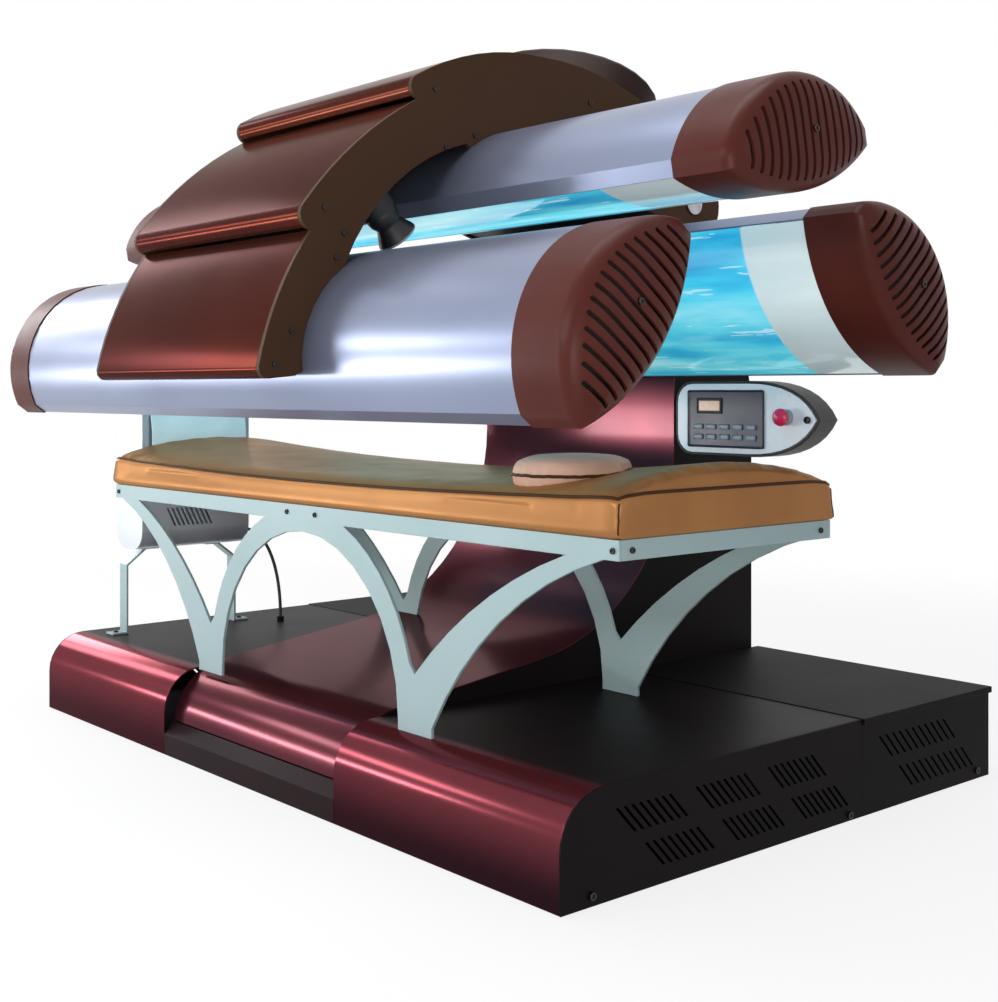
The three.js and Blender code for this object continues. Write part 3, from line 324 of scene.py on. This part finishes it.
def in_hand(piece):
    """The one piece that the next operators work on."""
    nothing_selected()
    piece.select_set(True)
    bpy.context.view_layer.objects.active = piece
    return piece


def finished(piece, material, body, angle=38):
    """Smooth shading, material and body for a piece that is in place."""
    in_hand(piece)
    bpy.ops.object.transform_apply(location=True, rotation=True, scale=True)
    bpy.ops.object.shade_smooth_by_angle(angle=math.radians(angle))
    use(piece, "WEIGHTED_NORMAL", keep_sharp=True)
    piece.data.materials.clear()
    piece.data.materials.append(material)
    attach(piece, body)
    return piece


def use(piece, kind, **settings):
    """Adds a modifier and applies it at once."""
    in_hand(piece)
    step = piece.modifiers.new("step", kind)
    for key, value in settings.items():
        setattr(step, key, value)
    bpy.ops.object.modifier_apply(modifier="step")
    return piece


def eased(piece, width, segments=2, angle=32):
    return use(piece, "BEVEL", width=width, segments=segments, limit_method="ANGLE",
               angle_limit=math.radians(angle), use_clamp_overlap=True)


def worked_copy(node, name):
    """A piece cut from the same solid as a CAD node, with its flats made whole again."""
    piece = in_hand(linked(name, nodes[node].data.copy()))
    bpy.ops.object.mode_set(mode="EDIT")
    bpy.ops.mesh.select_all(action="SELECT")
    bpy.ops.mesh.remove_doubles(threshold=0.00002)
    bpy.ops.mesh.dissolve_limited(angle_limit=math.radians(0.6))
    bpy.ops.object.mode_set(mode="OBJECT")
    return piece


def dressed(node, material, ease=0.0012, segments=2, angle=38):
    """Stands for a CAD node: same shape, with eased edges and its own finish."""
    piece = worked_copy(node, node + "_made")
    if ease:
        eased(piece, ease, segments)
    finished(piece, material, body_of_node[node], angle)
    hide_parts(node)
    return piece


def only_picked(piece, kind, wanted):
    """Goes into edit mode with just the faces or edges selected that the test picks."""
    in_hand(piece)
    bpy.ops.object.mode_set(mode="EDIT")
    bpy.ops.mesh.select_all(action="DESELECT")
    bpy.ops.object.mode_set(mode="OBJECT")
    for one in getattr(piece.data, kind):
        one.select = wanted(one)
    bpy.ops.object.mode_set(mode="EDIT")


def joined(pieces):
    """Many pieces made one, under the first one's name."""
    in_hand(pieces[0])
    for piece in pieces:
        piece.select_set(True)
    bpy.ops.object.join()
    return pieces[0]


def cube(name, low, high):
    """A block between two corners, as the start of a piece."""
    nothing_selected()
    bpy.ops.mesh.primitive_cube_add(size=1.0)
    piece = bpy.context.object
    piece.name = name
    piece.scale = [b - a for a, b in zip(low, high)]
    piece.location = [(a + b) / 2 for a, b in zip(low, high)]
    bpy.ops.object.transform_apply(location=True, rotation=True, scale=True)
    return piece


# Cable of the foot lamp, on the same bend as its solid.
cable_line = bpy.data.curves.new("foot_cable", "CURVE")
cable_line.dimensions = "3D"
cable_line.bevel_depth = 0.005
cable_line.bevel_resolution = 4
cable_line.resolution_u = 40
run = cable_line.splines.new("BEZIER")
run.bezier_points.add(1)
start, out_of_lamp = Vector((-0.950, -0.1577, 0.505)), Vector((-0.950, -0.0677, 0.505))
end, into_deck = Vector((-0.872, -0.062, 0.2313)), Vector((-0.872, -0.062, 0.391))
for knot, spot, before, after in ((run.bezier_points[0], start, 2 * start - out_of_lamp, out_of_lamp),
                                  (run.bezier_points[1], end, into_deck, 2 * end - into_deck)):
    knot.handle_left_type = knot.handle_right_type = "FREE"
    knot.co, knot.handle_left, knot.handle_right = spot, before, after


def bend_point(t):
    s = 1 - t
    return s ** 3 * start + 3 * s * s * t * out_of_lamp + 3 * s * t * t * into_deck + t ** 3 * end


steps = [bend_point(i / 200) for i in range(201)]
cable_length = sum((b - a).length for a, b in zip(steps, steps[1:]))
cable = linked("foot_cable", cable_line)
cable_line.materials.append(CABLE)
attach(cable, "base")
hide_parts("foot_lamp_cable")


# Sheet metal, plates and mouldings carried over from the solids.
for side in ("left", "right"):
    dressed(f"base_cover_{side}", COVER, 0.0012)
    dressed(f"base_end_{side}", DECK, 0.0008, 1)
    dressed(f"rear_box_{side}", DECK, 0.0008, 1)
    dressed(f"rear_lid_{side}", DECK, 0.002, 3)
    dressed(f"column_side_{side}", DECK, 0.001)
    dressed(f"arch_plate_{side}", CHEEK, 0.0022, 3)
dressed("base_pan", DECK, 0.001)
dressed("centre_plinth", PLINTH, 0.0012)
dressed("ramp_cover", BURGUNDY, 0.0012)
dressed("column_back", DECK, 0.0015)
dressed("hinge_head", BLACK, 0.002)
dressed("hinge_shaft", SHAFT, 0.002)
for part in ("front", "middle", "top"):
    dressed(f"arch_cover_{part}", BRONZE, 0.0012)
dressed("arch_liner_front", BLACK, 0.001)
dressed("arch_liner_rear", BLACK, 0.001)
dressed("rear_cowl", COWL, 0.002)
dressed("nozzle_socket", BLACK, 0.0015)
dressed("air_nozzle", BLACK, 0.0015)
for bank in ("front", "top", "rear"):
    dressed(f"{bank}_shell", SILVER, 0.001)
    dressed(f"{bank}_glass", PAINTED_GLOW_GLASS, 0.0008)
    dressed(f"{bank}_reflector", MIRROR, 0)
    dressed(f"{bank}_lamps", TUBE, 0, angle=50)
for part in ("frame_front", "frame_rear", "rail_foot", "rail_head"):
    dressed(f"couch_{part}", STEEL, 0.0012)
dressed("couch_board", PLY, 0.001)
dressed("foot_lamp_housing", PALE, 0.0012)
dressed("foot_lamp_glass", FOOT_PAINTED_GLOW_GLASS, 0.0008)
dressed("foot_lamp_leg_front", STEEL, 0.0012)
dressed("foot_lamp_leg_rear", STEEL, 0.0012)
dressed("pod_body", BLACK, 0.003, 3)
dressed("pod_face", PEARL, 0.0015, 3)
dressed("stop_collar", GREY, 0.0012)
dressed("stop_button", RED, 0.0015, 3)


# End caps of the lamp banks.
BANKS = {"front": (1.060, -0.625, 1.062, 53.0),
         "top": (1.090, -0.192, 1.409, 11.8),
         "rear": (1.060, 0.197, 1.151, -48.5)}
CHORD_HALF, SHELL_RISE, GLASS_RISE, FLAT_HALF = 0.225, 0.151, 0.083, 0.018
CAP_START, CAP_RIM, CAP_DOME, CAP_WALL = 0.0003, 0.1203, 0.048, 0.006
CAP_MIDDLE = 0.034
DOME_STEPS = 10
SLOTS, SLOT_PITCH, SLOT_HALF, SLOT_MARGIN, SLOT_ROUND = 15, 0.025, 0.0047, 0.020, 0.0042
SHADE_SHEET_DEPTH = 0.020


def arc_points(p, q, rise, count):
    """Points of an arc from p to q, the start left out, bulging to the left by the rise."""
    p, q = Vector(p), Vector(q)
    chord = q - p
    half = chord.length / 2
    radius = (half * half + rise * rise) / (2 * rise)
    left = Vector((-chord.y, chord.x)).normalized()
    centre = (p + q) / 2 + left * (rise - radius)
    first = math.atan2(p.y - centre.y, p.x - centre.x)
    sweep = -4 * math.atan(rise / half)
    turns = [first + sweep * i / count for i in range(1, count + 1)]
    return [centre + Vector((math.cos(t), math.sin(t))) * abs(radius) for t in turns]


def bank_outline(shell_steps, glass_steps):
    low, high = -FLAT_HALF, FLAT_HALF
    under = arc_points((-CHORD_HALF, low), (CHORD_HALF, low), -(GLASS_RISE - FLAT_HALF), glass_steps)
    over = arc_points((CHORD_HALF, high), (-CHORD_HALF, high), -(SHELL_RISE - FLAT_HALF), shell_steps)
    tip = [Vector((CHORD_HALF, 0.0)), Vector((CHORD_HALF, high))]
    return under + tip + over + [Vector((-CHORD_HALF, 0.0)), Vector((-CHORD_HALF, low))]


def louvred_cap():
    """Domed cap drawn out ring by ring from the bank's outline, then slotted square to the chord."""
    outline = bank_outline(30, 24)
    ring = bpy.data.meshes.new("cap")
    count = len(outline)
    ring.from_pydata([(CAP_START, p.x, p.y) for p in outline],
                     [(i, (i + 1) % count) for i in range(count)], [])
    cap = in_hand(linked("cap", ring))
    bpy.ops.object.mode_set(mode="EDIT")
    bpy.ops.mesh.select_all(action="SELECT")
    bpy.ops.mesh.extrude_edges_move(TRANSFORM_OT_translate={"value": (CAP_RIM - CAP_START, 0, 0)})
    stations = [(0.0, 1.0)]
    for i in range(1, DOME_STEPS + 1):
        turn = math.pi / 2 * i / DOME_STEPS
        stations.append((math.sin(turn) ** 0.9 * CAP_DOME, 0.12 + 0.88 * math.cos(turn) ** 0.62))
    for (x0, s0), (x1, s1) in zip(stations, stations[1:]):
        bpy.ops.mesh.extrude_edges_move(TRANSFORM_OT_translate={"value": (x1 - x0, 0, 0)})
        bpy.ops.transform.resize(value=(1, s1 / s0, s1 / s0),
                                 center_override=(CAP_RIM + x1, 0, CAP_MIDDLE))
    bpy.ops.mesh.edge_face_add()
    bpy.ops.mesh.select_all(action="SELECT")
    bpy.ops.mesh.normals_make_consistent(inside=False)
    bpy.ops.object.mode_set(mode="OBJECT")
    use(cap, "SOLIDIFY", thickness=CAP_WALL, offset=-1.0)
    cutters = []
    for n in range(SLOTS):
        u = (n - SLOTS // 2) * SLOT_PITCH
        fall = (u / CHORD_HALF) ** 2
        high = SHELL_RISE - (SHELL_RISE - FLAT_HALF) * fall - SLOT_MARGIN
        low = -GLASS_RISE + (GLASS_RISE - FLAT_HALF) * fall + SLOT_MARGIN
        cutter = cube("cutter", (CAP_RIM - 0.012, u - SLOT_HALF, low), (CAP_RIM + 0.07, u + SLOT_HALF, high))
        cutters.append(eased(cutter, SLOT_ROUND, 3))
    joined(cutters)
    use(cap, "BOOLEAN", operation="DIFFERENCE", object=cutters[0], solver="EXACT")
    bpy.data.objects.remove(cutters[0])
    return eased(cap, 0.0011, 2, 40)


def cap_shade_sheet():
    """Black sheet a little way in from the slots, standing in for the shade inside the cap."""
    outline = [Vector((p.x, p.y - CAP_MIDDLE)) * 0.955 for p in bank_outline(30, 24)]
    count = len(outline)
    sheet = bpy.data.meshes.new("shade_sheet")
    sheet.from_pydata([(CAP_RIM - SHADE_SHEET_DEPTH, p.x, p.y + CAP_MIDDLE) for p in outline], [],
                      [list(range(count))])
    return use(linked("shade_sheet", sheet), "SOLIDIFY", thickness=0.002, offset=0.0)


pattern_cap = louvred_cap()
pattern_shade_sheet = cap_shade_sheet()
cap_screw_places = {"base": [], "canopy": []}
for bank, (half, y, z, lean) in BANKS.items():
    for side, turn in (("right", 0.0), ("left", math.pi)):
        node = f"{bank}_cap_{side}"
        body = body_of_node[node]
        put = (Matrix.Translation((0, y, z)) @ Matrix.Rotation(math.radians(lean), 4, "X")
               @ Matrix.Rotation(turn, 4, "Z") @ Matrix.Translation((half, 0, 0)))
        cap = linked(node + "_made", pattern_cap.data.copy())
        cap.data.transform(put)
        finished(cap, CAP, body, 34)
        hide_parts(node)
        # Painted shade: a black sheet behind each cap's slots.
        shade_sheet = linked(f"{bank}_baffle_{side}", pattern_shade_sheet.data.copy())
        shade_sheet.data.transform(put)
        finished(shade_sheet, BLACK, body)
        way_out = (1, 0, 0) if side == "right" else (-1, 0, 0)
        crown = put @ Vector((CAP_RIM + CAP_DOME - 0.001, 0.0125, CAP_MIDDLE))
        cap_screw_places[body].append((crown, way_out))
bpy.data.objects.remove(pattern_cap)
bpy.data.objects.remove(pattern_shade_sheet)


# Screws: a domed head with a sunk socket, copied to each place.
def screw_pattern(radius):
    nothing_selected()
    bpy.ops.mesh.primitive_cylinder_add(vertices=18, radius=radius, depth=radius * 0.8,
                                        location=(0, 0, radius * 0.3))
    head = bpy.context.object
    bpy.ops.object.transform_apply(location=True)
    only_picked(head, "polygons", lambda face: face.normal.z > 0.9)
    bpy.ops.mesh.inset(thickness=radius * 0.45)
    bpy.ops.mesh.extrude_region_move(TRANSFORM_OT_translate={"value": (0, 0, -radius * 0.4)})
    bpy.ops.object.mode_set(mode="OBJECT")
    return eased(head, radius * 0.16, 2, 40)


def screws(name, radius, body, places):
    """All screws of one kind on one body, as one piece. A place is a point and the way out there."""
    pattern = screw_pattern(radius)
    made = []
    for point, out in places:
        turn = Vector(out).to_track_quat("Z", "Y").to_matrix().to_4x4()
        copy = linked(name, pattern.data.copy())
        copy.data.transform(Matrix.Translation(point) @ turn)
        made.append(copy)
    bpy.data.objects.remove(pattern)
    group = joined(made)
    group.name = name
    return finished(group, SCREW, body)


CHEEK_SCREWS = [(-0.435, 1.627), (-0.403, 1.497), (-0.316, 1.534), (-0.738, 1.331), (-0.686, 1.279),
                (-0.707, 1.225), (-0.821, 1.063), (-0.862, 0.992), (0.06, 1.66), (0.30, 1.60)]
screws("cheek_screws", 0.006, "canopy",
       [((s * 0.385, y, z), (s, 0, 0)) for s in (-1, 1) for y, z in CHEEK_SCREWS])
FRAME_SCREWS = [-0.819, 0.065, 0.184, 1.146]
screws("couch_screws", 0.006, "base",
       [((x, -0.629, 0.650), (0, -1, 0)) for x in FRAME_SCREWS]
       + [((x, -0.005, 0.650), (0, 1, 0)) for x in FRAME_SCREWS]
       + [((1.160, y, 0.650), (1, 0, 0)) for y in (-0.595, -0.039)]
       + [((-0.840, y, 0.650), (-1, 0, 0)) for y in (-0.595, -0.039)])
BASE_SCREWS = [(-0.638, 0.022), (0.146, 0.015), (0.66, 0.022)]
screws("base_screws", 0.008, "base",
       [((s * 1.100, y, z), (s, 0, 0)) for s in (-1, 1) for y, z in BASE_SCREWS])
screws("leg_screws", 0.007, "base",
       [((-0.985, y, 0.2213), (0, 0, 1)) for y in (-0.560, -0.144)])
screws("pod_screw", 0.009, "base", [((0.852, 0.329, 0.866), (0, -1, 0))])
for body, places in cap_screw_places.items():
    screws(f"cap_screws_{body}", 0.0075, body, places)


# Control panel on the pod: foil panel, display, keys.
def plate(name, x0, x1, z0, z1, face, thick, corner, material):
    """A thin plate on the pod's face, corners rounded and front edge eased."""
    made = cube(name, (x0, face - thick, z0), (x1, face, z1))
    points = made.data.vertices

    def runs_through(edge):
        a, b = (points[i].co for i in edge.vertices)
        return abs(a.y - b.y) > thick * 0.5

    only_picked(made, "edges", runs_through)
    bpy.ops.mesh.bevel(offset=corner, segments=5, affect="EDGES")
    bpy.ops.object.mode_set(mode="OBJECT")
    eased(made, thick * 0.3, 2, 60)
    return finished(made, material, "base")


FACE = 0.3290
plate("control_foil", 0.476, 0.722, 0.792, 0.938, FACE, 0.0012, 0.006, NAVY)
plate("display_frame", 0.506, 0.588, 0.878, 0.918, FACE - 0.0012, 0.0010, 0.003,
      BLACK)
plate("display_window", 0.513, 0.581, 0.885, 0.911, FACE - 0.0022, 0.0008, 0.002,
      DISPLAY)
for row in range(2):
    for place in range(5):
        x = 0.494 + place * 0.043
        z = 0.812 + row * 0.026
        plate(f"key_{row}_{place}", x, x + 0.030, z, z + 0.014, FACE - 0.0012, 0.0014, 0.004,
              GREY)


# Pale rings on the air nozzle's mouth.
ball = Vector((0.29, -0.5169, 1.3404))
air_way = Vector((0.0, 0.6884, -0.7254))
for name, reach, around, cord in (("nozzle_ring", 0.0640, 0.0470, 0.0026),
                                  ("nozzle_inner_ring", 0.0600, 0.0385, 0.0016)):
    nothing_selected()
    bpy.ops.mesh.primitive_torus_add(major_segments=48, minor_segments=10,
                                     major_radius=around, minor_radius=cord)
    ring = bpy.context.object
    ring.name = name
    ring.location = ball + air_way * reach
    ring.rotation_mode = "QUATERNION"
    ring.rotation_quaternion = air_way.to_track_quat("Z", "Y")
    finished(ring, GREY, "nozzle", 60)


# Mattress and pillow.
def swollen(node, name, material, voxel, pressure, cap_on_move):
    """Foam under a sewn cover: an even skin, blown up a little, its underside kept flat."""
    piece = worked_copy(node, name)
    use(piece, "REMESH", mode="VOXEL", voxel_size=voxel)
    use(piece, "SMOOTH", factor=0.5, iterations=3)
    rest = [v.co.copy() for v in piece.data.vertices]
    low = min(p.z for p in rest)
    in_hand(piece)
    fill = piece.modifiers.new("fill", "CLOTH")
    fill.settings.use_pressure = True
    fill.settings.uniform_pressure_force = pressure
    fill.settings.effector_weights.gravity = 0.0
    for number in range(1, 16):
        scene.frame_set(number)
    bpy.ops.object.modifier_apply(modifier="fill")
    scene.frame_set(1)
    for v, old in zip(piece.data.vertices, rest):
        move = v.co - old
        if move.length > cap_on_move:
            move = move.normalized() * cap_on_move
        grip = min(1.0, max(0.0, (old.z - low) / 0.03))
        v.co = old + move * grip
    use(piece, "SUBSURF", levels=1, render_levels=1)
    finished(piece, material, "base", 180)
    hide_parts(node)
    return piece


def piping(name, pad, points, radius, closed):
    """A sewn cord laid on a pad's surface along a line of points near it."""
    line = bpy.data.curves.new(name, "CURVE")
    line.dimensions = "3D"
    line.bevel_depth = radius
    line.bevel_resolution = 2
    run = line.splines.new("POLY")
    run.points.add(len(points) - 1)
    run.use_cyclic_u = closed
    for knot, near in zip(run.points, points):
        found, spot, out, face = pad.closest_point_on_mesh(Vector(near))
        knot.co = (*(spot + out * radius * 0.2), 1.0)
    in_hand(linked(name, line))
    bpy.ops.object.convert(target="MESH")
    return finished(bpy.context.object, PIPING, "base", 60)


mattress = swollen("mattress", "mattress_cover", VINYL, 0.011, 3.0, 0.007)
pillow = swollen("pillow", "pillow_cover", PATCH, 0.006, 3.0, 0.006)

PAD_X, PAD_Y, PAD_LOW = 0.160, -0.317, 0.6703
PAD_HALF_X, PAD_HALF_Y = 1.012, 0.324


def pad_edge(t):
    """Height of the mattress's top edge, from the foot at -1 to the head at 1."""
    return PAD_LOW + 0.064 + 0.020 * t * t


border = []
LONG_X, LONG_Y = PAD_HALF_X - 0.010, PAD_HALF_Y - 0.008
for side in (-1, 1):
    for i in range(81):
        t = side * (i / 40 - 1)
        border.append((PAD_X - t * LONG_X, PAD_Y + side * LONG_Y, pad_edge(t) - 0.004))
    for i in range(1, 28):
        across = side * (1 - i / 14)
        border.append((PAD_X - side * (PAD_HALF_X - 0.006), PAD_Y + across * LONG_Y, pad_edge(1) - 0.002))
piping("mattress_piping", mattress, border, 0.0034, True)
for n, (sx, sy) in enumerate(((1, -1), (1, 1), (-1, 1), (-1, -1))):
    corner = [(PAD_X + sx * PAD_HALF_X, PAD_Y + sy * PAD_HALF_Y, PAD_LOW + 0.004 + 0.0066 * i)
              for i in range(11)]
    piping(f"corner_seam_{n}", mattress, corner, 0.0018, False)
rim = [(0.890 + 0.125 * math.cos(a), -0.480 + 0.135 * math.sin(a), 0.772) for a in
       (2 * math.pi * i / 96 for i in range(96))]
piping("pillow_piping", pillow, rim, 0.0032, True)


# Floor and light. What the camera, metal or glass sees of the room is white.
def seen_straight_or_mirrored(made):
    seen = made.node("LightPath", out="Is Camera Ray")
    for ray in ("Is Glossy Ray", "Is Transmission Ray"):
        seen = made.node("Math", {"operation": "MAXIMUM"}, [seen, made.node("LightPath", out=ray)])
    return seen


nothing_selected()
bpy.ops.mesh.primitive_circle_add(vertices=64, radius=40.0, fill_type="NGON", location=(0, 0, -0.0004))
floor = bpy.context.object
floor.name = "floor"
pale = Finish("pale_floor", roughness=0.9, base_color=(0.86, 0.86, 0.86, 1))
reach = pale.node("VectorMath", {"operation": "LENGTH"}, [pale.place], out="Value")
fade = pale.node("MapRange", {"interpolation_type": "SMOOTHSTEP"}, {
    "Value": reach, "From Min": 1.6, "From Max": 4.6, "To Min": 0.82, "To Max": 1.0})
white = pale.node("Emission", {}, {"Color": WHITE, "Strength": 1.0})
blend = pale.node("MixShader", {}, [
    seen_straight_or_mirrored(pale) * fade, Wire(pale, pale.shader.outputs[0]), white])
pale.tree.links.new(blend.socket, pale.tree.nodes["Material Output"].inputs[0])
floor.data.materials.append(pale.material)


class Sky(Finish):
    """The world's nodes, made by the same method."""

    def __init__(self, world):
        world.use_nodes = True
        self.tree = world.node_tree


scene.world = bpy.data.worlds.new("studio")
sky = Sky(scene.world)
room = sky.node("Background", {}, {"Color": WHITE, "Strength": 0.22})
backdrop = sky.node("Background", {}, {"Color": WHITE, "Strength": 1.0})
choice = sky.node("MixShader", {}, [seen_straight_or_mirrored(sky), room, backdrop])
sky.tree.links.new(choice.socket, sky.tree.nodes["World Output"].inputs[0])


def softbox(name, place, aim, width, height, power):
    light = bpy.data.lights.new(name, "AREA")
    light.shape = "RECTANGLE"
    light.size, light.size_y = width, height
    light.energy = power
    aimed(name, light, place, Vector(aim) - Vector(place))


softbox("front_box", (0.2, -5.2, 2.6), (0, -0.3, 0.7), 4.2, 0.8, 130)
softbox("top_box", (0.3, -0.6, 4.6), (0.1, -0.3, 0.8), 3.4, 1.6, 100)
softbox("left_box", (-4.0, -3.6, 0.72), (0.1, 0.3, 0.8), 1.8, 0.25, 60)
softbox("high_left_box", (-3.8, -1.05, 2.6), (0.3, -0.65, 0.3), 0.5, 2.4, 45)
softbox("nose_strip", (-3.6, -3.3, 1.95), (0.4, -0.7, 0.2), 1.6, 0.4, 28)
softbox("side_box", (5.0, 0.8, 2.2), (0.6, 0.0, 0.8), 1.6, 1.6, 10)
softbox("foot_box", (-4.0, -0.25, 1.55), (0.4, -0.3, 0.75), 0.9, 0.6, 25)
softbox("low_right_box", (3.5, -2.7, 0.86), (0.6, 0.3, 0.85), 1.0, 0.3, 40)
